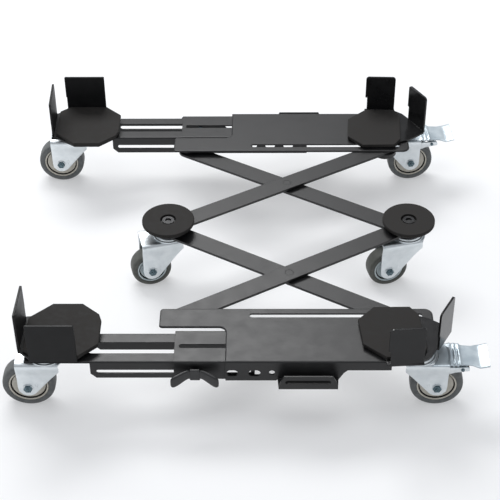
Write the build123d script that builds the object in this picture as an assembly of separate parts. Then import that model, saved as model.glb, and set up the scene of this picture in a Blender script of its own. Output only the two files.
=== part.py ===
"""Adjustable rolling dolly base that carries a motorcycle paddock or centre stand.

Two mirrored side rails are joined by a two-layer scissor linkage; each rail telescopes to the
left and stands on a swivel caster at both ends, and two more casters sit under the round discs.
Millimetres, +Z up, floor at Z = 0, X along the rails, front rail on the -Y side.
"""
from build123d import *
from math import cos, hypot, radians, sin
import os

# Overall placement
CENTRE_SHIFT = 68.39  # moves the layout so the overall box is centred on X = 0

# Heights of the stack, from the floor up
WHEEL_D = 75.0
MIDDLE_WHEEL_D = 62.0
FORK_TOP = 86.8
RACE_BOTTOM = 87.1
RACE_TOP = 92.2
LOW_ARM_Z = 92.6
HIGH_ARM_Z = 99.0
RAIL_TOP = 105.9
FOOT_Z = 106.2
PAD_TOP = 114.0
DISC_TOP = 115.6
TAB_TOP = 173.0
LEFT_TAB_TOP = 171.5

# Sheet thicknesses and running gaps
RAIL_T = 2.5
SLEEVE_T = 2.2
EXT_T = 2.5
FOOT_T = 3.0
ARM_T = 4.0
SLIDE_GAP = 0.3
PIVOT_GAP = 0.1

# Scissor linkage
ARM_ANGLE = 31.0
ARM_LONG = 213.4  # crossing to disc
ARM_SHORT = 188.0  # crossing to rail
ARM_W = 30.0
ARM_END_R = 15.0
PIN_D = 12.0
HEAD_D = 22.0

# Rail plate
RAIL_IN = 191.5
RAIL_OUT = 300.8
RAIL_BEND = 2.4
TONGUE_OUT = 230.5
TONGUE_LEFT = -184.5
RAIL_LEFT = -90.5
RAIL_RIGHT = 201.0
FLANGE_RIGHT = 136.7
FLANGE_LOW = 70.7
FLANGE_HIGH = 90.0
HOOK_LEFT = -21.0
HOOK_RIGHT = 65.0
HOOK_OUT = 319.5
HOOK_LIP_TOP = 95.7
HOOK_LOW = 72.5
RAIL_SLOT = (-57.7, 186.0, 8.0)  # left end, right end, width
GUIDE_X = -78.0
GUIDE_Y = 266.2
GUIDE_D = 7.4

# Telescopic members
SLEEVE_LEFT = -161.0
SLEEVE_RIGHT = 47.0
SLEEVE_IN = 234.5
SLEEVE_LOW = 71.0
SLEEVE_SLOT_W = 7.6
EXT_LEFT = -366.0
EXT_FLANGE_LEFT = -276.0
EXT_RIGHT = -50.0
EXT_IN = 237.2
EXT_LOW = 70.8
EXT_SLOT_W = 22.0
EXT_SLOT_Y = 267.0
SIDE_SLOT_W = 7.0
CLAMP_X = -132.0
CLAMP_Z = 82.4
REAR_OFFSET = -12.5  # the rear telescope is drawn out this much further

# Casters
CASTER_Y = 266.0
LEFT_AXIS = -340.0
FRONT_RIGHT_AXIS = 176.5
REAR_RIGHT_AXIS = 182.5
TRAIL = 28.0
MIDDLE_TRAIL = 31.0
FORK_T = 2.5
AXLE_D = 8.0
EAR_TOP = 84.0
PEDAL_PIN = (60.0, 78.0)
PEDAL_PIN_D = 5.0
REAR_RIGHT_TURN = 5.0  # heading of the wheel from its swivel axis, in degrees
MIDDLE_TURN = 194.0

# Discs and pads
DISC_D = 79.4
DISC_T = 5.0
DISC_PLATE_D = 74.0
REAR_FOOT_SHIFT = (0.0, -12.5)  # along X and outwards, before mirroring
FRONT_FOOT_YAW = 2.0
FRONT_FOOT_SHIFT = (-5.5, 1.5)

os.makedirs("parts", exist_ok=True)

WEB_Z = RAIL_TOP - RAIL_T  # underside of the rail plate
SLEEVE_TOP = WEB_Z - SLIDE_GAP
SLEEVE_OUT = RAIL_OUT - RAIL_T - SLIDE_GAP
EXT_TOP = SLEEVE_TOP - SLEEVE_T - SLIDE_GAP
EXT_OUT = SLEEVE_OUT - SLEEVE_T - SLIDE_GAP
COS = cos(radians(ARM_ANGLE))
SIN = sin(radians(ARM_ANGLE))
DISC_X = 182.9
CROSS_X = DISC_X - ARM_LONG * COS
CROSS_Y = ARM_LONG * SIN
PIVOT_Y = CROSS_Y + ARM_SHORT * SIN
FIXED_X = CROSS_X - ARM_SHORT * COS
SLIDE_X = CROSS_X + ARM_SHORT * COS
LEFT_DISC_X = CROSS_X - ARM_LONG * COS


def box(x, y, z):
    """Box from three (low, high) ranges."""
    size = (x[1] - x[0], y[1] - y[0], z[1] - z[0])
    middle = ((x[0] + x[1]) / 2, (y[0] + y[1]) / 2, (z[0] + z[1]) / 2)
    return Pos(*middle) * Box(*size)


def post(x, y, low, high, diameter):
    """Vertical cylinder."""
    return Pos(x, y, (low + high) / 2) * Cylinder(diameter / 2, high - low)


def across(x, z, low, high, diameter):
    """Cylinder along Y between two Y values."""
    return Pos(x, (low + high) / 2, z) * Rot(90, 0, 0) * Cylinder(diameter / 2, high - low)


def slab(points, low, high, fillet_r=0.0):
    """Vertical prism of a closed outline."""
    face = make_face(Polyline(*points, close=True))
    solid = Pos(0, 0, low) * extrude(face, high - low, dir=(0, 0, 1))
    if fillet_r:
        solid = fillet(solid.edges().filter_by(Axis.Z), fillet_r)
    return solid


def side_slab(points, low, high):
    """Prism along Y of an outline given as (x, z) points."""
    face = make_face(Polyline(*[(x, 0, z) for x, z in points], close=True))
    return Pos(0, low, 0) * extrude(face, high - low, dir=(0, 1, 0))


def end_slab(points, low, high):
    """Prism along X of an outline given as (y, z) points."""
    face = make_face(Polyline(*[(0, y, z) for y, z in points], close=True))
    return Pos(low, 0, 0) * extrude(face, high - low, dir=(1, 0, 0))


def plan_slot(left, right, y, width, low, high):
    """Round-ended slot cutter seen from above."""
    r = width / 2
    cut = box((left + r, right - r), (y - r, y + r), (low, high))
    return cut + post(left + r, y, low, high, width) + post(right - r, y, low, high, width)


def wall_slot(left, right, z, width, low, high):
    """Round-ended slot cutter through a wall that stands along X."""
    r = width / 2
    cut = box((left + r, right - r), (low, high), (z - r, z + r))
    return cut + across(left + r, z, low, high, width) + across(right - r, z, low, high, width)


def turned(points):
    """Solid of revolution about Z from (radius, z) points."""
    face = make_face(Polyline(*[(r, 0, z) for r, z in points], close=True))
    return revolve(face, Axis.Z)


def channel(left, right, inner, outer, low, top, sheet):
    """Upside-down channel along X on the front side."""
    shell = box((left, right), (-outer, -inner), (low, top))
    shell = fillet(shell.edges().filter_by(Axis.X).group_by(Axis.Z)[-1], sheet)
    return shell - box((left - 1, right + 1), (sheet - outer, -inner - sheet), (low - 1, top - sheet))


# --- side rails (drawn for the front, mirrored for the rear) -------------------------------------

def rail_outline():
    return [
        (TONGUE_LEFT, -RAIL_IN), (RAIL_RIGHT, -RAIL_IN), (RAIL_RIGHT, -272.0), (174.0, -RAIL_OUT),
        (RAIL_LEFT, -RAIL_OUT), (RAIL_LEFT, -TONGUE_OUT), (TONGUE_LEFT, -TONGUE_OUT),
    ]


def rail_plate(axis):
    top = slab(rail_outline(), WEB_Z, RAIL_TOP)
    corners = top.edges().filter_by(Axis.Z)
    notch = corners.filter_by_position(Axis.X, RAIL_LEFT - 1, RAIL_LEFT + 1)
    notch = notch.filter_by_position(Axis.Y, -TONGUE_OUT - 1, -TONGUE_OUT + 1)
    top = fillet(notch, 10.0)
    top = fillet(top.edges().filter_by(Axis.Z).filter_by_position(
        Axis.X, TONGUE_LEFT - 1, TONGUE_LEFT + 1), 5.0)
    top = fillet(top.edges().filter_by(Axis.Z).filter_by_position(
        Axis.X, RAIL_RIGHT - 1, RAIL_RIGHT + 1), 12.0)
    wall = side_slab([
        (RAIL_LEFT, RAIL_TOP), (FLANGE_RIGHT, RAIL_TOP), (FLANGE_RIGHT, FLANGE_HIGH),
        (HOOK_RIGHT + 12, FLANGE_HIGH), (HOOK_RIGHT + 7, FLANGE_HIGH - 5),
        (HOOK_RIGHT, HOOK_LOW), (HOOK_LEFT + 2, HOOK_LOW), (HOOK_LEFT, FLANGE_LOW),
        (RAIL_LEFT, FLANGE_LOW),
    ], -RAIL_OUT, RAIL_T - RAIL_OUT)
    body = top + wall
    bend = body.edges().filter_by(Axis.X).filter_by_position(Axis.Z, RAIL_TOP - 0.1, RAIL_TOP + 0.1)
    body = fillet(bend.sort_by(Axis.Y)[:2], RAIL_BEND) + hook()
    for left, right in ((-88.8, -73.0), (-58.6, -42.1)):
        body -= wall_slot(left, right, 84.5, 11.0, -RAIL_OUT - 1, 4 - RAIL_OUT)
    body -= across(-26.5, 85.5, -RAIL_OUT - 1, 4 - RAIL_OUT, 8.5)
    body -= plan_slot(RAIL_SLOT[0], RAIL_SLOT[1], -PIVOT_Y, RAIL_SLOT[2], 90, 110)
    body -= post(axis, -CASTER_Y, 90, 110, PIN_D + 2 * PIVOT_GAP)
    return body


def hook():
    """Forward hook: floor strip and slotted lip outside the rail's side wall."""
    floor = slab([
        (HOOK_LEFT + 2, RAIL_T - RAIL_OUT), (HOOK_RIGHT, RAIL_T - RAIL_OUT),
        (HOOK_RIGHT - 1.5, -HOOK_OUT), (HOOK_LEFT + 3.5, -HOOK_OUT),
    ], HOOK_LOW, HOOK_LOW + RAIL_T)
    lip = side_slab([
        (HOOK_LEFT + 3.5, HOOK_LOW), (HOOK_RIGHT - 1.5, HOOK_LOW),
        (HOOK_RIGHT - 4.0, 86.0), (HOOK_RIGHT - 9.0, HOOK_LIP_TOP),
        (HOOK_LEFT + 11.0, HOOK_LIP_TOP), (HOOK_LEFT + 6.0, 86.0),
    ], -HOOK_OUT, RAIL_T - HOOK_OUT)
    lip -= wall_slot(-8.5, 53.5, 85.5, 6.5, -HOOK_OUT - 1, 4 - HOOK_OUT)
    return floor + lip


def sleeve():
    body = channel(SLEEVE_LEFT, SLEEVE_RIGHT, SLEEVE_IN, SLEEVE_OUT, SLEEVE_LOW, SLEEVE_TOP, SLEEVE_T)
    body += across(CLAMP_X, CLAMP_Z, -SLEEVE_OUT - 4.0, -SLEEVE_OUT, 13.0)
    body -= across(CLAMP_X, CLAMP_Z, -SLEEVE_OUT - 5.0, 5 - SLEEVE_OUT, 6.2)
    body -= plan_slot(SLEEVE_LEFT + 6, SLEEVE_RIGHT - 12, -GUIDE_Y, SLEEVE_SLOT_W, 90, 110)
    body -= wall_slot(-90.0, -14.0, 83.5, 11.0, -SLEEVE_OUT - 1, 5 - SLEEVE_OUT)
    for left, right in ((-44.0, -36.0), (-22.0, -6.0), (8.0, 24.0)):
        body -= wall_slot(left, right, 85.0, 7.9, -SLEEVE_IN - 5, 1 - SLEEVE_IN)
    return body


def extension(both_walls):
    body = channel(EXT_LEFT, EXT_RIGHT, EXT_IN, EXT_OUT, EXT_LOW, EXT_TOP, EXT_T)
    wide = (-EXT_OUT - 1, 1 - EXT_IN)
    web = EXT_TOP - EXT_T
    body -= box((EXT_LEFT - 1, EXT_FLANGE_LEFT), wide, (EXT_LOW - 1, web))
    corner = [
        (EXT_FLANGE_LEFT - 1, EXT_LOW - 1), (EXT_FLANGE_LEFT + 9, EXT_LOW - 1),
        (EXT_FLANGE_LEFT - 1, EXT_LOW + 9),
    ]
    body -= side_slab(corner, *wide)
    slot = (EXT_FLANGE_LEFT + 8, EXT_RIGHT - 5, CLAMP_Z, SIDE_SLOT_W)
    body -= wall_slot(*slot, -EXT_OUT - 1, 5 - EXT_OUT)
    if both_walls:
        body -= wall_slot(*slot, -EXT_IN - 5, 1 - EXT_IN)
    body -= plan_slot(EXT_FLANGE_LEFT - 8, EXT_RIGHT + 30, -EXT_SLOT_Y, EXT_SLOT_W, 90, 110)
    body -= post(LEFT_AXIS, -CASTER_Y, 90, 110, PIN_D + 2 * PIVOT_GAP)
    return body


def tab(x, y, normal, width, top, corner, notch):
    """Upright tab with its outer face through (x, y), its outward normal at an angle in degrees."""
    half = width / 2
    step = FOOT_Z + 27.0
    face = side_slab([
        (-half + notch, FOOT_Z), (half, FOOT_Z), (half, top), (-half, top), (-half, step),
        (-half + notch, step - 0.1),
    ], 0.0, FOOT_T)
    face = fillet(face.edges().filter_by(Axis.Y).group_by(Axis.Z)[-1], corner)
    return Pos(x, y, 0) * Rot(0, 0, normal + 90.0) * face


LEFT_PAD = [
    (-336, -190), (-294, -190), (-269, -212), (-264.8, -225), (-264.8, -273), (-290, -297),
    (-352, -297), (-367.5, -284), (-367.5, -219),
]


def left_foot(shift):
    plate = slab([
        (-335, -191), (-295, -191), (-270, -213), (-266, -226), (-266, -272), (-291.5, -296),
        (-291.5, -301), (-357, -301), (-359, -296), (-371, -285), (-375.0, -284), (-375.0, -212.5),
        (-364, -211.5),
    ], FOOT_Z, FOOT_Z + FOOT_T)
    tabs = tab(-324.6, -301.0, -90.0, 66.2, LEFT_TAB_TOP, 1.6, 1.0)
    tabs += tab(-375.0, -248.5, 178.5, 64.0, LEFT_TAB_TOP, 2.5, 1.0)
    body = Pos(*shift, 0) * (plate + tabs)
    body += post(LEFT_AXIS, -CASTER_Y, EXT_TOP, FOOT_Z, 40.0)
    return body - post(LEFT_AXIS, -CASTER_Y, 90, 110, PIN_D + 2 * PIVOT_GAP)


def left_pad(shift):
    pad = slab(LEFT_PAD, FOOT_Z + FOOT_T, PAD_TOP)
    pad = chamfer(pad.faces().sort_by(Axis.Z)[-1].edges(), 0.8)
    return Pos(*shift, 0) * pad


RIGHT_PAD = [
    (101, -222), (125, -197), (176, -198), (187, -214.5), (190.8, -282), (182.4, -299.5),
    (133.5, -299.5), (104, -272.5),
]


def right_foot():
    """Foot plate of a right-hand caster, drawn for an axis at the rear one's place."""
    body = slab([
        (102, -222.5), (125.5, -198), (175.5, -199), (187, -213), (201, -219), (212, -227),
        (228, -240), (203, -283.5), (196, -294), (184, -303), (183.5, -309.5), (133.5, -309.5),
        (132.5, -299), (105, -272),
    ], FOOT_Z, FOOT_Z + FOOT_T)
    body += tab(158.5, -309.5, -88.0, 49.0, TAB_TOP, 5.0, 3.0)
    return body + tab(217.5, -264.0, -31.0, 46.0, TAB_TOP, 5.0, 3.0)


def right_pad():
    pad = slab(RIGHT_PAD, FOOT_Z + FOOT_T, PAD_TOP)
    return chamfer(pad.faces().sort_by(Axis.Z)[-1].edges(), 0.8)


def wing_screw():
    """Clamp screw along Y with a round hub and two wings that sweep outwards."""
    face = -SLEEVE_OUT - 4.4
    body = across(CLAMP_X, CLAMP_Z, face, -284.0, 6.0)
    body += across(CLAMP_X, CLAMP_Z, face - 8.5, face, 15.0)
    right = [
        (0, -1.5), (9, -1.5), (18, -4.5), (27, -10.5), (33.5, -16.3), (31.5, -16.6), (22, -12.0),
        (13, -8.0), (0, -7.5),
    ]
    outline = [
        (-34, 0), (-31.5, -7), (-25, -9), (-12, -7), (12, -7), (25, -9), (31.5, -7), (34, 0), (31.5, 7),
        (25, 9), (12, 7), (-12, 7), (-25, 9), (-31.5, 7),
    ]
    wing = slab(right, -10, 10)
    wings = (wing + mirror(wing, about=Plane.YZ)) & side_slab(outline, -20, 1)
    return body + Pos(CLAMP_X, face, CLAMP_Z) * wings


# --- scissor linkage ----------------------------------------------------------------------------

def arm(low, start, finish, holes):
    """Flat bar between two points with round ends; holes are (distance from start, diameter)."""
    length = hypot(finish[0] - start[0], finish[1] - start[1])
    high = low + ARM_T
    body = box((0, length), (-ARM_W / 2, ARM_W / 2), (low, high))
    body += post(0, 0, low, high, 2 * ARM_END_R) + post(length, 0, low, high, 2 * ARM_END_R)
    for distance, diameter in holes:
        body -= post(distance, 0, low - 1, high + 1, diameter)
    turn = ARM_ANGLE if finish[1] > start[1] else -ARM_ANGLE
    return Pos(start[0], start[1], 0) * Rot(0, 0, turn) * body


def pin_hole(moving):
    return PIN_D + (PIVOT_GAP if moving else 2 * PIVOT_GAP)


def crossing_rivet(x, y):
    body = post(x, y, 90.4, HIGH_ARM_Z + ARM_T - 0.1, PIN_D)
    body += post(x, y, 97.0, HIGH_ARM_Z, 24.0)
    return body + post(x, y, 90.4, LOW_ARM_Z - 0.3, HEAD_D)


def rail_pins(side):
    """Fixed pivot stud for the arm and the guide stud of the sleeve, both hung from the rail."""
    y = side * PIVOT_Y
    if side < 0:
        body = post(FIXED_X, y, 96.7, WEB_Z, PIN_D)
        body += post(FIXED_X, y, 96.7, HIGH_ARM_Z - 0.3, HEAD_D)
    else:
        body = post(FIXED_X, y, 90.3, WEB_Z, PIN_D)
        body += post(FIXED_X, y, LOW_ARM_Z + ARM_T + 0.3, WEB_Z, HEAD_D)
        body += post(FIXED_X, y, 90.3, LOW_ARM_Z - 0.3, HEAD_D)
    guide = post(GUIDE_X, side * GUIDE_Y, 98.0, WEB_Z, GUIDE_D)
    guide += post(GUIDE_X, side * GUIDE_Y, 98.0, EXT_TOP, 14.0)
    return body, guide


def slide_pin(side):
    """Pin that runs in the rail's long slot, fixed in the end of an arm."""
    y = side * PIVOT_Y
    pin = RAIL_SLOT[2] - 2 * PIVOT_GAP
    if side < 0:
        body = post(SLIDE_X, y, LOW_ARM_Z + ARM_T, WEB_Z - 0.3, HEAD_D)
        body += post(SLIDE_X, y, 90.6, WEB_Z - 0.4, PIN_D)
        body += post(SLIDE_X, y, WEB_Z - 0.4, RAIL_TOP - 0.2, pin)
        return body + post(SLIDE_X, y, 90.6, LOW_ARM_Z, HEAD_D)
    body = post(SLIDE_X, y, 89.6, HIGH_ARM_Z + ARM_T, PIN_D)
    body += post(SLIDE_X, y, 90.6, RAIL_TOP - 0.2, pin)
    washer = turned([(0, 89.6), (16, 89.6), (19, 92.0), (19, HIGH_ARM_Z), (0, HIGH_ARM_Z)])
    return body + Pos(SLIDE_X, y, 0) * washer


def disc_plate(x):
    body = post(x, 0, DISC_TOP - DISC_T - 3.0, DISC_TOP - DISC_T, DISC_PLATE_D)
    body += post(x, 0, HIGH_ARM_Z + ARM_T, DISC_TOP - DISC_T - 3.0, 30.0)
    return body - post(x, 0, 90, 120, PIN_D + 2 * PIVOT_GAP)


def disc_pad(x):
    ring = turned([
        (12, DISC_TOP - DISC_T), (DISC_D / 2, DISC_TOP - DISC_T), (DISC_D / 2, DISC_TOP - 1),
        (DISC_D / 2 - 1, DISC_TOP), (12, DISC_TOP),
    ])
    return Pos(x, 0, 0) * ring


def disc_bolt(x):
    low = DISC_TOP - DISC_T
    body = post(x, 0, low, low + 3.6, 18.0)
    hexagon = extrude(RegularPolygon(5.0, 6), 3.0)
    return body - Pos(x, 0, low + 1.4) * hexagon


# --- casters ------------------------------------------------------------------------------------

def caster_race():
    """Swivel head turned about the caster's own axis, without its mounting."""
    body = turned([
        (0, RACE_BOTTOM), (24.5, RACE_BOTTOM), (24.5, 89.0), (21.5, RACE_TOP), (0, RACE_TOP),
    ])
    body += post(0, 0, 81.0, RACE_BOTTOM, PIN_D)
    return body + post(0, 0, 81.0, FORK_TOP - FORK_T - 0.4, 20.0)


def head_middle():
    body = caster_race() + post(0, 0, RACE_TOP, DISC_TOP - DISC_T - 0.1, PIN_D)
    return body + post(0, 0, 96.9, 98.7, 24.0)


def head_left():
    body = caster_race() + post(0, 0, RACE_TOP, EXT_TOP - EXT_T, 40.0)
    return body + post(0, 0, RACE_TOP, FOOT_Z + FOOT_T - 0.1, PIN_D)


def head_right():
    body = caster_race() + post(0, 0, RACE_TOP, WEB_Z, 40.0)
    body += post(0, 0, RACE_TOP, RAIL_TOP, PIN_D)
    body += post(0, 0, RAIL_TOP, FOOT_Z + FOOT_T + 0.3, 14.0)
    return body + post(0, 0, FOOT_Z + FOOT_T + 0.3, 111.6, 17.0)


def fork(brake, trail, wheel_d):
    """Pressed fork; trails along +X from the swivel axis."""
    hub = wheel_d / 2
    low = hub - 14.0
    outer = [
        (-17.2, low - 9), (-17.2, 54), (-18.6, 66), (-21.6, 78), (-20.5, FORK_TOP), (20.5, FORK_TOP),
        (21.6, 78), (18.6, 66), (17.2, 54), (17.2, low - 9),
    ]
    inner = [
        (-14.7, low - 10), (-14.7, 54.5), (-16.0, 66.5), (-19.0, 77.5), (-18.3, FORK_TOP - FORK_T),
        (18.3, FORK_TOP - FORK_T), (19.0, 77.5), (16.0, 66.5), (14.7, 54.5), (14.7, low - 10),
    ]
    shell = end_slab(outer, -30, 80) - end_slab(inner, -31, 81)
    back = trail + 14.0
    outline = [
        (-27, FORK_TOP + 1), (-27, 82), (trail - 11.5, low + 5.5), (trail - 8, low + 2.3), (trail, low),
        (trail + 8, low + 2.3), (back - 1, low + 8.5), (back, low + 16.5), (back, FORK_TOP + 1),
    ]
    if brake:
        outline = outline[:-1] + [(42, 62), (48, 70), (70, 73), (70, 81), (64, 84), (42, 84.5),
                                  (42, FORK_TOP + 1)]
    body = shell & side_slab(outline, -30, 30)
    reach = 75.0 if brake else back + 1
    plan = post(0, 0, 0, 100, 54.0) + box((0, reach), (-24, 24), (0, 100))
    body &= plan
    if brake:
        body -= box((10, 80), (-30, 30), (EAR_TOP, 100)) - post(0, 0, 80, 101, 54.0)
        body -= across(PEDAL_PIN[0], PEDAL_PIN[1], -30, 30, PEDAL_PIN_D + 2 * PIVOT_GAP)
    body -= post(0, 0, 80, 90, PIN_D + PIVOT_GAP)
    body += across(trail, hub, -17.2, 17.2, AXLE_D)
    for end in (-1, 1):
        nut = Rot(90, 0, 0) * extrude(RegularPolygon(7.5, 6), 1.6, both=True)
        body += Pos(trail, end * 18.8, hub) * nut
    return body


def rim(trail, wheel_d):
    """Hub, web and tread seat about the axle, drawn about Z and laid along Y."""
    r = wheel_d / 2 - 9.5
    body = turned([
        (AXLE_D / 2 + PIVOT_GAP, -14.0), (9, -14.0), (9, -6), (r - 8, -5), (r - 4, -10.5), (r, -10.5),
        (r, 10.5), (r - 4, 10.5), (r - 8, 5), (9, 6), (9, 14.0), (AXLE_D / 2 + PIVOT_GAP, 14.0),
    ])
    return Pos(trail, 0, wheel_d / 2) * Rot(90, 0, 0) * body


def tyre(trail, wheel_d):
    r = wheel_d / 2
    body = turned([
        (r - 9.5, -11.5), (r - 4.5, -12.5), (r - 1.5, -11.5), (r - 0.2, -8), (r, -3), (r, 3), (r - 0.2, 8),
        (r - 1.5, 11.5), (r - 4.5, 12.5), (r - 9.5, 11.5),
    ])
    return Pos(trail, 0, r) * Rot(90, 0, 0) * body


def pedal():
    """Brake pedal: ribbed plate on two lugs between the fork's long ears."""
    top = [
        (20, 87), (42, 87), (44, 88.7), (47, 86.7), (50, 88.7), (53, 86.7), (56, 88.7), (59, 87), (72, 87),
        (85, 84), (97, 86.5),
    ]
    low = [(x, z - 1.8) for x, z in reversed(top)]
    body = side_slab(top + low, -24, 24)
    body -= post(0, 0, 70, 100, 2 * 27.6)
    x, z = PEDAL_PIN
    lug = [(x - 8, 86), (x + 8, 86), (x + 5, z - 3), (x + 2, z - 5), (x - 2, z - 5), (x - 5, z - 3)]
    for y in (-17.5, 15.5):
        body += side_slab(lug, y, y + 2)
    return body + across(x, z, -24.2, 24.2, PEDAL_PIN_D)


# --- assembly -----------------------------------------------------------------------------------

def rear(shape):
    return mirror(shape, about=Plane.XZ)


parts = {}
for name, side in (("front", -1), ("rear", 1)):
    front = side < 0
    out = 0.0 if front else REAR_OFFSET
    axis = FRONT_RIGHT_AXIS if front else REAR_RIGHT_AXIS
    yaw = FRONT_FOOT_YAW if front else 0.0
    slip = FRONT_FOOT_SHIFT if front else (0.0, 0.0)
    foot_slip = (0.0, 0.0) if front else REAR_FOOT_SHIFT
    flip = (lambda shape: shape) if front else rear
    turn = Pos(slip[0], slip[1], 0) * Pos(180.0, -CASTER_Y, 0) * Rot(0, 0, yaw) * Pos(-180.0, CASTER_Y, 0)
    foot_hole = post(axis, -CASTER_Y, 90, 115, 14.0 + 2 * PIVOT_GAP)
    head_space = post(axis, -CASTER_Y, 100, 112.2, 17.6)
    shift = Pos(out, 0, 0)
    parts[f"{name}_rail_plate"] = flip(rail_plate(axis))
    parts[f"{name}_sleeve"] = flip(shift * sleeve())
    parts[f"{name}_extension"] = flip(shift * extension(not front))
    parts[f"{name}_left_foot_plate"] = flip(shift * left_foot(foot_slip))
    parts[f"{name}_left_pad"] = flip(shift * left_pad(foot_slip))
    parts[f"{name}_right_foot_plate"] = flip(turn * right_foot() - foot_hole)
    parts[f"{name}_right_pad"] = flip(turn * right_pad() - head_space)
    parts[f"{name}_wing_screw"] = flip(shift * wing_screw())
    pivot_stud, guide_stud = rail_pins(side)
    parts[f"{name}_pivot_stud"] = pivot_stud
    parts[f"{name}_guide_stud"] = guide_stud
    parts[f"{name}_slide_pin"] = slide_pin(side)
    parts[f"{name}_crossing_rivet"] = crossing_rivet(CROSS_X, side * CROSS_Y)

TOTAL = ARM_SHORT + ARM_LONG
FIXED = pin_hole(False)
FREE = pin_hole(True)
parts["arm_front_left_to_right_disc"] = arm(
    HIGH_ARM_Z, (FIXED_X, -PIVOT_Y), (DISC_X, 0), ((0, FREE), (ARM_SHORT, FIXED), (TOTAL, FIXED)))
parts["arm_left_disc_to_front_right"] = arm(
    LOW_ARM_Z, (LEFT_DISC_X, 0), (SLIDE_X, -PIVOT_Y), ((0, FREE), (ARM_LONG, FREE), (TOTAL, FIXED)))
parts["arm_left_disc_to_rear_right"] = arm(
    HIGH_ARM_Z, (LEFT_DISC_X, 0), (SLIDE_X, PIVOT_Y), ((0, FIXED), (ARM_LONG, FIXED), (TOTAL, FIXED)))
parts["arm_rear_left_to_right_disc"] = arm(
    LOW_ARM_Z, (FIXED_X, PIVOT_Y), (DISC_X, 0), ((0, FREE), (ARM_SHORT, FREE), (TOTAL, FREE)))

for name, x in (("left", LEFT_DISC_X), ("right", DISC_X)):
    parts[f"{name}_disc_plate"] = disc_plate(x)
    parts[f"{name}_disc_pad"] = disc_pad(x)
    parts[f"{name}_disc_bolt"] = disc_bolt(x)

CORNER = (TRAIL, WHEEL_D)
MIDDLE = (MIDDLE_TRAIL, MIDDLE_WHEEL_D)
CASTERS = (
    ("front_left", LEFT_AXIS, -CASTER_Y, 180.0, head_left, CORNER, False),
    ("rear_left", LEFT_AXIS + REAR_OFFSET, CASTER_Y, 180.0, head_left, CORNER, False),
    ("front_right", FRONT_RIGHT_AXIS, -CASTER_Y, 0.0, head_right, CORNER, True),
    ("rear_right", REAR_RIGHT_AXIS, CASTER_Y, REAR_RIGHT_TURN, head_right, CORNER, True),
    ("middle_left", LEFT_DISC_X, 0.0, MIDDLE_TURN, head_middle, MIDDLE, False),
    ("middle_right", DISC_X, 0.0, MIDDLE_TURN, head_middle, MIDDLE, False),
)
for name, x, y, trail_angle, head, wheel, brake in CASTERS:
    place = Pos(x, y, 0) * Rot(0, 0, trail_angle)
    parts[f"{name}_caster_head"] = place * head()
    parts[f"{name}_caster_fork"] = place * fork(brake, *wheel)
    parts[f"{name}_wheel_rim"] = place * rim(*wheel)
    parts[f"{name}_wheel_tyre"] = place * tyre(*wheel)
    if brake:
        parts[f"{name}_brake_pedal"] = place * pedal()

for name, shape in parts.items():
    placed = Pos(CENTRE_SHIFT, 0, 0) * shape
    export_step(placed, f"parts/{name}.step")
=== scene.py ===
"""Looks for the rolling dolly that carries a motorcycle stand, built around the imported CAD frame."""
from math import cos, pi, radians, sin

import bmesh
import bpy
from mathutils import Matrix, Vector

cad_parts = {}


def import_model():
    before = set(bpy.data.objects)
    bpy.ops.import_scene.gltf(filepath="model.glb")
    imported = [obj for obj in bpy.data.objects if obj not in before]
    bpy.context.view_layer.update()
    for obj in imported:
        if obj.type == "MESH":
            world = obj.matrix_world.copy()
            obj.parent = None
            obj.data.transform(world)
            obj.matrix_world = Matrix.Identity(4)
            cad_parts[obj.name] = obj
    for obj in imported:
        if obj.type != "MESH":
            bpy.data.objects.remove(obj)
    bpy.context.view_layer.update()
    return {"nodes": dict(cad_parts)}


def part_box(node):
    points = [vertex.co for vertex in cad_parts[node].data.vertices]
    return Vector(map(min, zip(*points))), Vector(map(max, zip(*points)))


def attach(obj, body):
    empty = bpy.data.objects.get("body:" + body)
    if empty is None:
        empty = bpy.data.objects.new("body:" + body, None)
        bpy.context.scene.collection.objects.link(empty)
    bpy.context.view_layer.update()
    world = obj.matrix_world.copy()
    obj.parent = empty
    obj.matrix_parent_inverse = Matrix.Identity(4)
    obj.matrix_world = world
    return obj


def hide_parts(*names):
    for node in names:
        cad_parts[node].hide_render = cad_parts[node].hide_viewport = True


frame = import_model()
scene = bpy.context.scene
collection = scene.collection
MM = 0.001


# ---------------------------------------------------------------- materials
NOISE_SPAN = (0.3, 0.7)  # nearly all values of a noise texture lie between these
BUMP_STRENGTH = 0.35


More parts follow.
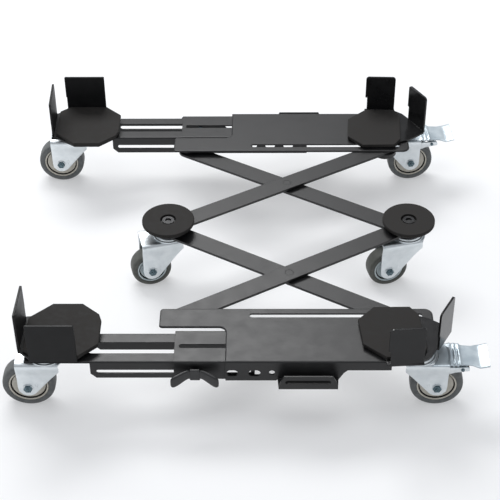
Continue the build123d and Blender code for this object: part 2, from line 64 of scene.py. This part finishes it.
class Shader:
    """A node material built up a step at a time, in object space (metres)."""

    def __init__(self, name):
        self.material = bpy.data.materials.new(name)
        self.material.use_nodes = True
        self.tree = self.material.node_tree
        self.bsdf = self.tree.nodes["Principled BSDF"]
        self.coords = self.tree.nodes.new("ShaderNodeTexCoord").outputs["Object"]

    def link(self, source, target):
        self.tree.links.new(source, target)

    def noise(self, scale, detail=3.0):
        node = self.tree.nodes.new("ShaderNodeTexNoise")
        node.inputs["Scale"].default_value = scale
        node.inputs["Detail"].default_value = detail
        self.link(self.coords, node.inputs["Vector"])
        return node.outputs["Fac"]

    def colour(self, source, dark, light):
        node = self.tree.nodes.new("ShaderNodeValToRGB")
        for element, place, tone in zip(node.color_ramp.elements, NOISE_SPAN, (dark, light)):
            element.position = place
            element.color = (*tone, 1.0)
        self.link(source, node.inputs["Fac"])
        self.link(node.outputs["Color"], self.bsdf.inputs["Base Color"])

    def roughness(self, source, low, high):
        node = self.tree.nodes.new("ShaderNodeMapRange")
        for key, value in zip(("From Min", "From Max", "To Min", "To Max"), (*NOISE_SPAN, low, high)):
            node.inputs[key].default_value = value
        self.link(source, node.inputs["Value"])
        self.link(node.outputs["Result"], self.bsdf.inputs["Roughness"])

    def rounded(self, radius):
        """Edges shaded as if broken by a small radius, so they catch the light."""
        node = self.tree.nodes.new("ShaderNodeBevel")
        node.samples = 6
        node.inputs["Radius"].default_value = radius
        self.link(node.outputs["Normal"], self.bsdf.inputs["Normal"])

    def bump(self, source, distance):
        """Fine bump on top of the rounded edges, where there are any."""
        node = self.tree.nodes.new("ShaderNodeBump")
        node.inputs["Strength"].default_value = BUMP_STRENGTH
        node.inputs["Distance"].default_value = distance
        previous = self.bsdf.inputs["Normal"]
        if previous.is_linked:
            self.link(previous.links[0].from_socket, node.inputs["Normal"])
        self.link(source, node.inputs["Height"])
        self.link(node.outputs["Normal"], self.bsdf.inputs["Normal"])

    def set(self, **values):
        for key, value in values.items():
            self.bsdf.inputs[key.replace("_", " ")].default_value = value


def surface(name, dark, light, scale, roughness, bump, edge=0.0, **settings):
    """Colour and (low, high) roughness that drift together, over a bump of (scale, depth in metres)."""
    s = Shader(name)
    if edge:
        s.rounded(edge)
    drift = s.noise(scale)
    s.colour(drift, dark, light)
    s.roughness(drift, *roughness)
    bump_scale, bump_depth = bump
    s.bump(s.noise(bump_scale, 2.0), bump_depth)
    s.set(**settings)
    return s.material


def powder_coat(name, roughness, specular):
    return surface(name, (0.008, 0.008, 0.0085), (0.012, 0.012, 0.0125), 55.0, roughness,
                   (1500.0, 0.00006), edge=0.0009, IOR=1.5, Specular_IOR_Level=specular)


def tyre_rubber(name, dark, light):
    return surface(name, dark, light, 160.0, (0.5, 0.62), (1400.0, 0.00005), Specular_IOR_Level=0.4)


def hub_plastic(name, dark, light):
    return surface(name, dark, light, 120.0, (0.38, 0.5), (900.0, 0.00004), Specular_IOR_Level=0.5)


LOOKS = {
    "powder_coat": powder_coat("powder_coat", (0.36, 0.43), 0.44),
    "dull_coat": powder_coat("dull_coat", (0.38, 0.45), 0.2),
    "smooth_coat": powder_coat("smooth_coat", (0.17, 0.22), 0.32),
    "pad_rubber": surface("pad_rubber", (0.009, 0.0082, 0.0075), (0.021, 0.019, 0.0175), 130.0, (0.72, 0.9),
                          (1800.0, 0.00012), edge=0.0008, Specular_IOR_Level=0.35),
    "zinc": surface("bright_zinc", (0.68, 0.725, 0.75), (0.80, 0.84, 0.86), 70.0, (0.32, 0.42),
                    (900.0, 0.00003), Metallic=1.0),
    "corner_tyre": tyre_rubber("corner_tyre", (0.088, 0.094, 0.095), (0.135, 0.142, 0.142)),
    "middle_tyre": tyre_rubber("middle_tyre", (0.062, 0.065, 0.058), (0.10, 0.103, 0.092)),
    "corner_hub": hub_plastic("corner_hub", (0.50, 0.475, 0.41), (0.62, 0.59, 0.52)),
    "middle_hub": hub_plastic("middle_hub", (0.46, 0.53, 0.55), (0.60, 0.67, 0.69)),
    "black_plastic": surface("black_plastic", (0.012, 0.012, 0.013), (0.018, 0.018, 0.019), 140.0,
                             (0.34, 0.44), (1600.0, 0.00005), Specular_IOR_Level=0.5),
    "fastener": surface("black_steel", (0.02, 0.02, 0.021), (0.035, 0.035, 0.036), 180.0, (0.25, 0.36),
                        (900.0, 0.00004), Metallic=0.6),
    "nut": surface("nut_zinc", (0.05, 0.08, 0.095), (0.16, 0.22, 0.25), 420.0, (0.2, 0.3),
                   (900.0, 0.00003), Metallic=1.0),
    # The pedal: a darker, bluer copy of the zinc with less metal; the darker tone is painted shade for the
    # dimmer reflection the pedal catches.
    "pedal": surface("pedal_zinc", (0.50, 0.58, 0.63), (0.66, 0.73, 0.77), 60.0, (0.3, 0.38),
                     (800.0, 0.00003), Metallic=0.6),
    # Painted shade: near-black for the narrow recesses of the hubs and the swivel race, standing in for the
    # shade inside them.
    "painted_groove_shade": surface("painted_groove_shade", (0.012, 0.011, 0.010), (0.025, 0.022, 0.02), 200.0, (0.6, 0.75),
                      (900.0, 0.00003)),
}


# ---------------------------------------------------------------- small geometry tools
ON_EDGE = Matrix.Rotation(radians(90.0), 4, "X")  # lays a turned piece's axis along Y


def turned(heading):
    return Matrix.Rotation(radians(heading), 4, "Z")


def moved(x, y, z):
    """Shift by millimetres."""
    return Matrix.Translation((x * MM, y * MM, z * MM))


def middle_of(node):
    low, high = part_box(node)
    return (low + high) / 2


def on_line(x, stops):
    """Value at x on a line through (x, value) stops."""
    for (x0, v0), (x1, v1) in zip(stops, stops[1:]):
        if x <= x1:
            return v0 + (v1 - v0) * (max(x, x0) - x0) / (x1 - x0)
    return stops[-1][1]


def spread(start, end, steps):
    """Evenly spaced values from start to end."""
    return [start + (end - start) * k / steps for k in range(steps + 1)]


def shape(name, verts, faces, materials, picks, place, sharp=35.0):
    """Mesh object in the shared frame from millimetre points; picks gives each face's material index."""
    mesh = bpy.data.meshes.new(name)
    mesh.from_pydata([place @ (Vector(v) * MM) for v in verts], [], faces)
    for material in materials:
        mesh.materials.append(material)
    for polygon, pick in zip(mesh.polygons, picks):
        polygon.material_index = pick
        polygon.use_smooth = True
    work = bmesh.new()
    work.from_mesh(mesh)
    bmesh.ops.remove_doubles(work, verts=work.verts, dist=1e-6)
    bmesh.ops.recalc_face_normals(work, faces=work.faces)
    work.to_mesh(mesh)
    work.free()
    mesh.set_sharp_from_angle(angle=radians(sharp))
    item = bpy.data.objects.new(name, mesh)
    collection.objects.link(item)
    return item


def picked(profile):
    """Profile points as (radius, height, material index), where the index may be left out for 0."""
    return [(*point, 0)[:3] for point in profile]


def lathe(name, profile, materials, place, steps=96, sharp=35.0):
    """Turned piece about local Z from a closed profile."""
    verts, faces, picks = [], [], []
    points = picked(profile)
    n = len(points)
    for k in range(steps):
        a = 2 * pi * k / steps
        verts += [(r * cos(a), r * sin(a), h) for r, h, _ in points]
        here, there = k * n, (k + 1) % steps * n
        for i, (_, _, pick) in enumerate(points):
            j = (i + 1) % n
            faces.append((here + i, here + j, there + j, there + i))
            picks.append(pick)
    return shape(name, verts, faces, materials, picks, place, sharp)


def both_sides(profile):
    """Closed profile from its half with height above 0, listed from the inner radius outwards."""
    half = picked(profile)
    back = [(r, -h, half[max(i - 1, 0)][2]) for i, (r, h, _) in reversed(list(enumerate(half)))]
    return half + back


def grid(name, rows, material, place, sharp, loop=False):
    """Sheet through rows of equally many points; loop closes each row to a ring and caps both ends."""
    n = len(rows[0])
    verts = [p for row in rows for p in row]
    faces = []
    for i in range(len(rows) - 1):
        for j in range(n if loop else n - 1):
            k = (j + 1) % n
            faces.append((i * n + j, i * n + k, (i + 1) * n + k, (i + 1) * n + j))
    if loop:
        faces += [tuple(range(n)), tuple(reversed(range((len(rows) - 1) * n, len(rows) * n)))]
    return shape(name, verts, faces, [material], [0] * len(faces), place, sharp)


def soften(item, edge, segments=2):
    bevel = item.modifiers.new("edge", "BEVEL")
    bevel.width = edge * MM
    bevel.segments = segments
    bevel.limit_method = "ANGLE"
    bevel.angle_limit = radians(40.0)


def thicken(item, thickness, edge):
    solid = item.modifiers.new("sheet", "SOLIDIFY")
    solid.thickness = thickness * MM
    solid.offset = 0.0
    soften(item, edge)


def subdivide(item):
    surface_step = item.modifiers.new("surface", "SUBSURF")
    surface_step.levels = 1
    surface_step.render_levels = 1


def keep(item, body, slot_name, *replaced):
    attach(item, body)
    if replaced:
        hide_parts(*replaced)


# ---------------------------------------------------------------- wheels
def tyre_profile(r, bead):
    return both_sides([
        (bead, 11.0), (bead + 0.6, 11.7), (bead + 2.2, 12.2), (r - 4.5, 12.5), (r - 3.0, 12.3),
        (r - 1.7, 11.5), (r - 0.8, 10.0), (r - 0.25, 7.5), (r - 0.05, 4.0), (r, 1.5),
    ])


def rim_profile(bead):
    """Hub boss, dished web, a narrow recess painted dark as the shade inside it, and the bright ring that
    the tyre sits on.
    """
    return both_sides([
        (4.3, 13.8), (8.0, 13.8), (8.9, 13.1), (9.2, 8.8), (11.0, 7.8), (bead - 7.5, 8.4),
        (bead - 5.0, 9.6), (bead - 4.3, 9.5), (bead - 4.0, 6.0, 1), (bead - 2.6, 6.0, 1),
        (bead - 2.4, 10.9), (bead - 1.9, 11.7), (bead - 0.9, 12.0), (bead - 0.1, 11.5), (bead, 2.0),
    ])


def wheel(name, heading, diameter, bead, tyre_look, hub_look):
    place = Matrix.Translation(middle_of(f"{name}_wheel_tyre")) @ turned(heading) @ ON_EDGE
    tyre = lathe(f"{name}_tyre", tyre_profile(diameter / 2, bead), [LOOKS[tyre_look]], place)
    # The rim's second look paints its narrow recess near-black as shade.
    rim = lathe(f"{name}_rim", rim_profile(bead), [LOOKS[hub_look], LOOKS["painted_groove_shade"]], place, sharp=28.0)
    keep(tyre, f"{name}_wheel", tyre_look, f"{name}_wheel_tyre")
    keep(rim, f"{name}_wheel", hub_look, f"{name}_wheel_rim")


# ---------------------------------------------------------------- casters
FORK_SHEET = 2.5
FORK_EDGE = 0.45
CROWN_RADIUS = 27.0
CROWN_HEIGHT = 85.55
CROWN_BEND = 84.0  # above this height a brake fork's crown is round at the back too
LEG_FACE = 17.1  # just inside each leg's outer face, so that the pressed slot's foot is hidden
EAR_ROOT = 41.9  # just inside the legs' back edge
EAR = (  # distance from the middle, height, reach backwards
    (17.6, 67.5, 44.5), (18.6, 71.0, 50.0), (19.7, 75.5, 70.0), (20.3, 79.0, 69.5), (20.3, 81.5, 66.0),
)
NUT = [(0.0, 17.0), (6.3, 17.0), (6.4, 17.3), (6.4, 20.0), (5.5, 20.8), (0.0, 20.8)]
WASHER = [(0.0, 17.0), (7.6, 17.0), (7.8, 17.2), (7.8, 18.0), (7.5, 18.3), (0.0, 18.3)]
BOLT_END = [(0.0, 19.0), (3.0, 19.0), (3.0, 21.2), (2.4, 21.8), (0.0, 21.8)]
PRESSED_SLOT = [(0.0, -0.5), (1.45, -0.5), (1.45, 0.1), (1.15, 0.45), (0.7, 0.62), (0.0, 0.7)]


def fork(name, body, place, trail, hub, brake):
    """Pressed sheet fork: two legs that flow into a round crown."""
    low = hub - 14.0
    back = trail + 14.0
    leg = [  # distance from the middle, height
        (15.95, low), (15.95, low + 0.8), (15.95, low + 2.3), (15.95, low + 5.5), (15.95, low + 8.5),
        (15.95, low + 16.5), (15.95, 48.0), (16.0, 54.0), (16.35, 60.0), (17.3, 66.0), (18.6, 71.0),
        (19.7, 75.5), (20.3, 79.0), (20.3, 81.5), (19.8, 83.4), (18.4, 84.9), (16.4, CROWN_HEIGHT),
        (12.0, CROWN_HEIGHT), (6.0, CROWN_HEIGHT),
    ]
    front_edge = [(low, trail - 2.0), (low + 0.8, trail - 4.6), (low + 2.3, trail - 8.0),
                  (low + 5.5, trail - 11.5), (82.0, -CROWN_RADIUS)]
    back_edge = [(low, trail + 2.0), (low + 0.8, trail + 4.6), (low + 2.3, trail + 8.0),
                 (low + 8.5, back - 1.0), (low + 16.5, back), (90.0, back)]
    rows = []
    for y, z in leg:
        crown = (CROWN_RADIUS ** 2 - y ** 2) ** 0.5
        start = max(on_line(z, front_edge), -crown)
        end = crown if brake and z > CROWN_BEND else on_line(z, back_edge)
        rows.append([(x, y, z) for x in spread(start, end, 16)])
    middle_end = CROWN_RADIUS if brake else back
    middle = [(x, 0.0, CROWN_HEIGHT) for x in spread(-CROWN_RADIUS, middle_end, 16)]
    rows += [middle] + [[(x, -y, z) for x, y, z in row] for row in reversed(rows)]
    piece = grid(f"{name}_fork", rows, LOOKS["zinc"], place, 60.0)
    thicken(piece, FORK_SHEET, FORK_EDGE)
    keep(piece, body, "zinc", f"{name}_caster_fork")
    if brake:
        for label, sign in (("near", -1), ("far", 1)):
            rows = [[(x, sign * y, z) for x in spread(EAR_ROOT, reach, 6)] for y, z, reach in EAR]
            ear = grid(f"{name}_ear_{label}", rows, LOOKS["zinc"], place, 60.0)
            thicken(ear, FORK_SHEET, FORK_EDGE)
            keep(ear, body, "zinc")
    axle(name, body, place @ moved(trail, 0, hub))


def axle(name, body, place):
    """Washer, nut, bolt end and the small pressed slot beside them, on both legs."""
    for label, side in (("near", -1), ("far", 1)):
        lean = Matrix.Rotation(radians(-90.0 * side), 4, "X")
        for part, profile, steps, look in (("washer", WASHER, 48, "zinc"), ("nut", NUT, 6, "nut"),
                                           ("stud", BOLT_END, 32, "nut")):
            piece = lathe(f"{name}_axle_{part}_{label}", profile, [LOOKS[look]], place @ lean, steps, 25.0)
            keep(piece, body, "zinc")
        tall = place @ moved(-12.5, side * LEG_FACE, 5.5) @ Matrix.Diagonal((1, 1, 3.0, 1)) @ lean
        mark = lathe(f"{name}_pressed_slot_{label}", PRESSED_SLOT, [LOOKS["zinc"]], tall, 32, 60.0)
        keep(mark, body, "zinc")


def swivel_head(name, body):
    """Ball race with stepped rings, its stem, and the black spacer above it."""
    low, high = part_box(f"{name}_caster_head")
    centre = (low + high) / 2
    base, top = low.z / MM, min(high.z / MM, 109.1)
    place = Matrix.Translation((centre.x, centre.y, 0))
    # The point marked 1 starts a small step painted near-black: painted shade in the race's recess.
    race = [
        (0.0, base), (9.4, base), (10.0, base + 0.6), (10.0, 83.8), (6.0, 83.9), (6.0, 87.1), (23.9, 87.1),
        (24.5, 87.5), (24.5, 88.7), (24.1, 89.1), (22.9, 89.2), (22.7, 89.0, 1), (22.3, 89.0), (22.1, 89.5),
        (21.7, 91.4), (21.0, 92.1), (19.9, 92.25), (0.0, 92.3),
    ]
    piece = lathe(f"{name}_race", race, [LOOKS["zinc"], LOOKS["painted_groove_shade"]], place, sharp=30.0)
    keep(piece, body, "zinc", f"{name}_caster_head")
    if "middle" in name:
        spacer = [(0.0, 92.2), (6.0, 92.2), (6.0, 110.4), (0.0, 110.4)]
    else:
        rim = 98.0 if "left" in name else 103.3
        spacer = [
            (0.0, 92.2), (19.4, 92.2), (20.0, 92.8), (20.0, rim - 0.5), (19.5, rim), (6.0, rim),
            (6.0, 105.8), (6.9, 106.0), (6.9, top), (0.0, top),
        ]
    piece = lathe(f"{name}_spacer", spacer, [LOOKS["powder_coat"]], place, 64, 30.0)
    keep(piece, body, "powder_coat")


# ---------------------------------------------------------------- brake pedals
PEDAL_START = 25.0
PEDAL_TIP = 97.0
PEDAL_NOTCH = 27.8  # radius of the round notch that clears the fork's crown
PEDAL_HEIGHT = 86.1
PEDAL_STEPS = 120
PEDAL_ACROSS = (-1.0, -0.97, -0.9, -0.75, -0.5, -0.25, 0.0, 0.25, 0.5, 0.75, 0.9, 0.97, 1.0)
EDGE_DROP = {0.97: 0.35, 1.0: 1.3}  # how far the edges turn down, by place across
RIB_START, RIB_END, RIB_PITCH, RIB_RISE = 41.0, 59.0, 6.0, 0.85
# half width and change in height, by distance from the caster's swivel axis
HALF_WIDTH = [(25, 22.6), (57, 22.6), (63, 19.4), (75, 19.4), (84, 22.9), (97, 23.4)]
SAG = [(28, -0.2), (41, 0.2), (59, 0.0), (72, -1.4), (83, -2.9), (86, -2.7), (97, 0.2)]
PEDAL_PIN = [(0.0, -23.6), (2.0, -23.6), (2.5, -23.1), (2.5, 23.1), (2.0, 23.6), (0.0, 23.6)]
PEDAL_STOP = [(0.0, -2.6), (3.2, -2.6), (3.9, -1.8), (3.9, 1.8), (3.2, 2.6), (0.0, 2.6)]
PEDAL_LUG = [(52.5, 85.6), (67.5, 85.6), (65.0, 76.0), (62.0, 73.6), (58.0, 73.6), (55.0, 76.0)]
LUG_SIDE = 16.5


def pedal_height(x, side):
    z = PEDAL_HEIGHT
    if RIB_START <= x <= RIB_END:
        z += RIB_RISE * (1 - cos(2 * pi * (x - RIB_START) / RIB_PITCH))
    return z + on_line(x, SAG) - EDGE_DROP.get(abs(side), 0.0)


def pedal(name, body, place):
    """Brake pedal: ribbed sheet with a narrow waist, a flared tip and turned-down edges."""
    rows = []
    for k, run in enumerate(spread(PEDAL_START, PEDAL_TIP, PEDAL_STEPS)):
        row = []
        for side in PEDAL_ACROSS:
            y = side * on_line(run, HALF_WIDTH)
            begin = (PEDAL_NOTCH ** 2 - y ** 2) ** 0.5
            x = begin + (PEDAL_TIP - begin) * k / PEDAL_STEPS
            row.append((x, y, pedal_height(x, side)))
        rows.append(row)
    # The pedal's zinc copy carries painted shade.
    plate = grid(f"{name}_pedal", rows, LOOKS["pedal"], place, 75.0)
    thicken(plate, 1.5, 0.3)
    keep(plate, body, "zinc", f"{name}_brake_pedal")
    pin = lathe(f"{name}_pedal_pin", PEDAL_PIN, [LOOKS["nut"]], place @ moved(60, 0, 78) @ ON_EDGE, 32, 30.0)
    keep(pin, body, "zinc")
    lay = place @ moved(66, -14.6, 75.6) @ ON_EDGE
    stop = lathe(f"{name}_pedal_stop", PEDAL_STOP, [LOOKS["black_plastic"]], lay, 32, 30.0)
    keep(stop, body, "black_plastic")
    for label, y in (("near", -LUG_SIDE), ("far", LUG_SIDE)):
        outline = [(x, y, z) for x, z in PEDAL_LUG]
        face = tuple(range(len(outline)))
        lug = shape(f"{name}_pedal_lug_{label}", outline, [face], [LOOKS["zinc"]], [0], place)
        thicken(lug, 1.9, 0.3)
        keep(lug, body, "zinc")


# ---------------------------------------------------------------- the six casters
# tyre look, hub look, wheel diameter, radius of the tyre's bead, trail
CORNER = ("corner_tyre", "corner_hub", 75.0, 27.9, 28.0)
MIDDLE = ("middle_tyre", "middle_hub", 62.0, 22.6, 31.0)
CASTERS = {  # heading in degrees, kind, body that carries the head, brake
    "front_left": (180.0, CORNER, "front_extension", False),
    "rear_left": (180.0, CORNER, "rear_extension", False),
    "front_right": (0.0, CORNER, "front_rail", True),
    "rear_right": (5.0, CORNER, "rear_rail", True),
    "middle_left": (194.0, MIDDLE, "arm_rear_right", False),
    "middle_right": (194.0, MIDDLE, "arm_front_left", False),
}
for caster, (heading, (tyre_look, hub_look, diameter, bead, trail), carrier, brake) in CASTERS.items():
    head = middle_of(f"{caster}_caster_head")
    place = Matrix.Translation((head.x, head.y, 0)) @ turned(heading)
    wheel(caster, heading, diameter, bead, tyre_look, hub_look)
    fork(caster, f"{caster}_fork", place, trail, diameter / 2, brake)
    swivel_head(caster, carrier)
    if brake:
        pedal(caster, f"{caster}_brake_pedal", place)


# ---------------------------------------------------------------- wing screws
KNOB_DEPTH = 16.6  # from the CAD knob's outermost point back to the inner face of the hub here
WING = (  # distance sideways, place along Y (outwards is negative), height, half height, half thickness
    (5.0, -1.7, 4.0, 7.4, 1.6), (10.0, -2.6, 3.8, 7.8, 2.3), (15.0, -4.6, 2.6, 8.4, 2.8),
    (20.5, -7.6, 0.9, 9.2, 3.0), (26.0, -10.9, -0.8, 9.8, 2.9), (30.5, -13.2, -1.6, 9.2, 2.4),
    (32.9, -14.3, -1.8, 6.4, 1.4),
)
WING_SIDES = 16
SQUARENESS = 0.6  # 1 gives wings of elliptical section, less makes them squarer
ROOT_LEAN, TIP_LEAN, ROOT_LENGTH = 14.0, 34.0, 12.0  # the wing's sections lean more past its root
HUB_HALF, HUB_FACE, HUB_LOW, HUB_HIGH = 7.0, -4.0, -6.5, 12.5
KNOB_STEM = [(0.0, -12.0), (2.4, -12.0), (3.0, -11.4), (3.0, 2.0), (0.0, 2.0)]


def squared(value):
    return abs(value) ** SQUARENESS * (1 if value >= 0 else -1)


def wing_ring(sign, x, y, height, tall, thick):
    """One section of a wing, turned to lie across its sweep."""
    lean = radians(ROOT_LEAN if x < ROOT_LENGTH else TIP_LEAN)
    ring = []
    for k in range(WING_SIDES):
        a = 2 * pi * k / WING_SIDES
        across, up = thick * squared(cos(a)), tall * squared(sin(a))
        ring.append((sign * (x + across * sin(lean)), y + across * cos(lean), height + up))
    return ring


def wing_knob(side, outwards):
    """Moulded knob: a flat block hub and two wings that sweep away from the sleeve."""
    body = f"{side}_wing_screw"
    black = LOOKS["black_plastic"]
    low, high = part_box(body)
    edge = -low.y if outwards < 0 else high.y
    middle = (low + high) / 2
    place = Matrix.Translation((middle.x, outwards * (edge - KNOB_DEPTH * MM), middle.z))
    if outwards > 0:
        place = place @ turned(180.0)
    for label, sign in (("left", -1), ("right", 1)):
        rings = [wing_ring(sign, *section) for section in WING]
        wing = grid(f"{side}_knob_wing_{label}", rings, black, place, 180.0, loop=True)
        subdivide(wing)
        keep(wing, body, "black_plastic")
    corners = ((-HUB_HALF, HUB_LOW), (HUB_HALF, HUB_LOW), (HUB_HALF, HUB_HIGH), (-HUB_HALF, HUB_HIGH))
    block = [(x, y, z) for y in (0, HUB_FACE) for x, z in corners]
    faces = [(0, 1, 2, 3), (4, 5, 6, 7), (0, 1, 5, 4), (1, 2, 6, 5), (2, 3, 7, 6), (3, 0, 4, 7)]
    hub = shape(f"{side}_knob_hub", block, faces, [black], [0] * len(faces), place)
    soften(hub, 1.3, 4)
    keep(hub, body, "black_plastic", body)
    stem = lathe(f"{side}_knob_stem", KNOB_STEM, [LOOKS["nut"]], place @ ON_EDGE, 32, 30.0)
    keep(stem, body, "fastener")


wing_knob("front", -1)
wing_knob("rear", 1)


# ---------------------------------------------------------------- stage
FLOOR_REACH = 6.0
DOME_STRENGTH = 0.66


def light(name, place, energy, size, target=(0, 0, 0)):
    """Rectangular softbox of size metres, turned to face the target."""
    data = bpy.data.lights.new(name, "AREA")
    data.energy = energy
    data.shape = "RECTANGLE"
    data.size, data.size_y = size
    item = bpy.data.objects.new(name, data)
    item.location = place
    item.rotation_euler = (Vector(target) - Vector(place)).to_track_quat("-Z", "Y").to_euler()
    collection.objects.link(item)


def floor():
    """Pale floor that glows a little, so that it stays light away from the softboxes."""
    mesh = bpy.data.meshes.new("floor")
    corners = ((-1, -1), (1, -1), (1, 1), (-1, 1))
    mesh.from_pydata([(x * FLOOR_REACH, y * FLOOR_REACH, 0) for x, y in corners], [], [(0, 1, 2, 3)])
    item = bpy.data.objects.new("floor", mesh)
    collection.objects.link(item)
    s = Shader("floor_paint")
    s.colour(s.noise(1.5), (0.52, 0.524, 0.53), (0.53, 0.534, 0.54))
    s.set(Roughness=0.75, Specular_IOR_Level=0.2)
    s.set(Emission_Color=(0.985, 0.99, 1.0, 1.0), Emission_Strength=0.37)
    mesh.materials.append(s.material)


def world():
    """Soft studio dome, dimmer at the horizon than overhead."""
    scene.world = bpy.data.worlds.new("studio")
    scene.world.use_nodes = True
    tree = scene.world.node_tree
    coords = tree.nodes.new("ShaderNodeTexCoord")
    split = tree.nodes.new("ShaderNodeSeparateXYZ")
    ramp = tree.nodes.new("ShaderNodeValToRGB")
    horizon, overhead = ramp.color_ramp.elements
    horizon.position, horizon.color = 0.0, (0.40, 0.415, 0.43, 1.0)
    overhead.position, overhead.color = 0.8, (0.93, 0.955, 1.0, 1.0)
    background = tree.nodes["Background"]
    tree.links.new(coords.outputs["Generated"], split.inputs["Vector"])
    tree.links.new(split.outputs["Z"], ramp.inputs["Fac"])
    tree.links.new(ramp.outputs["Color"], background.inputs["Color"])
    background.inputs["Strength"].default_value = DOME_STRENGTH


def camera():
    """Long lens that looks down from the front; the small yaw and roll were solved with the pitch."""
    yaw, pitch, roll = radians(-0.687), radians(39.574), radians(-0.4964)
    forward = Vector((sin(yaw) * cos(pitch), cos(yaw) * cos(pitch), -sin(pitch)))
    level = Vector((cos(yaw), -sin(yaw), 0))
    upright = level.cross(forward)
    right = cos(roll) * level + sin(roll) * upright
    up = cos(roll) * upright - sin(roll) * level
    data = bpy.data.cameras.new("camera")
    data.lens = 100.02
    data.sensor_width = 36.0
    item = bpy.data.objects.new("camera", data)
    turn = Matrix((right, up, -forward)).transposed().to_4x4()
    item.matrix_world = Matrix.Translation((0.02957, -1.6582, 1.42535)) @ turn
    collection.objects.link(item)
    scene.camera = item


scene.view_settings.view_transform = "Standard"
floor()
world()
camera()
light("back_softbox", (-0.8, 1.85, 2.7), 80.0, (2.4, 1.1))
light("overhead", (0.0, -0.3, 3.0), 15.0, (1.6, 1.2))
light("left_strip", (-2.2, 1.6, 0.9), 4.0, (0.6, 1.2), target=(0.3, -0.2, 0.1))

for name, node in frame["nodes"].items():
    look = node.data.materials[0].name.split(".")[0]
    if "rivet" in name or "pin" in name or "stud" in name:
        look = "powder_coat"
    if "foot_plate" in name:
        look = "dull_coat" if "left" in name else "smooth_coat"
    node.data.materials[0] = LOOKS[look]
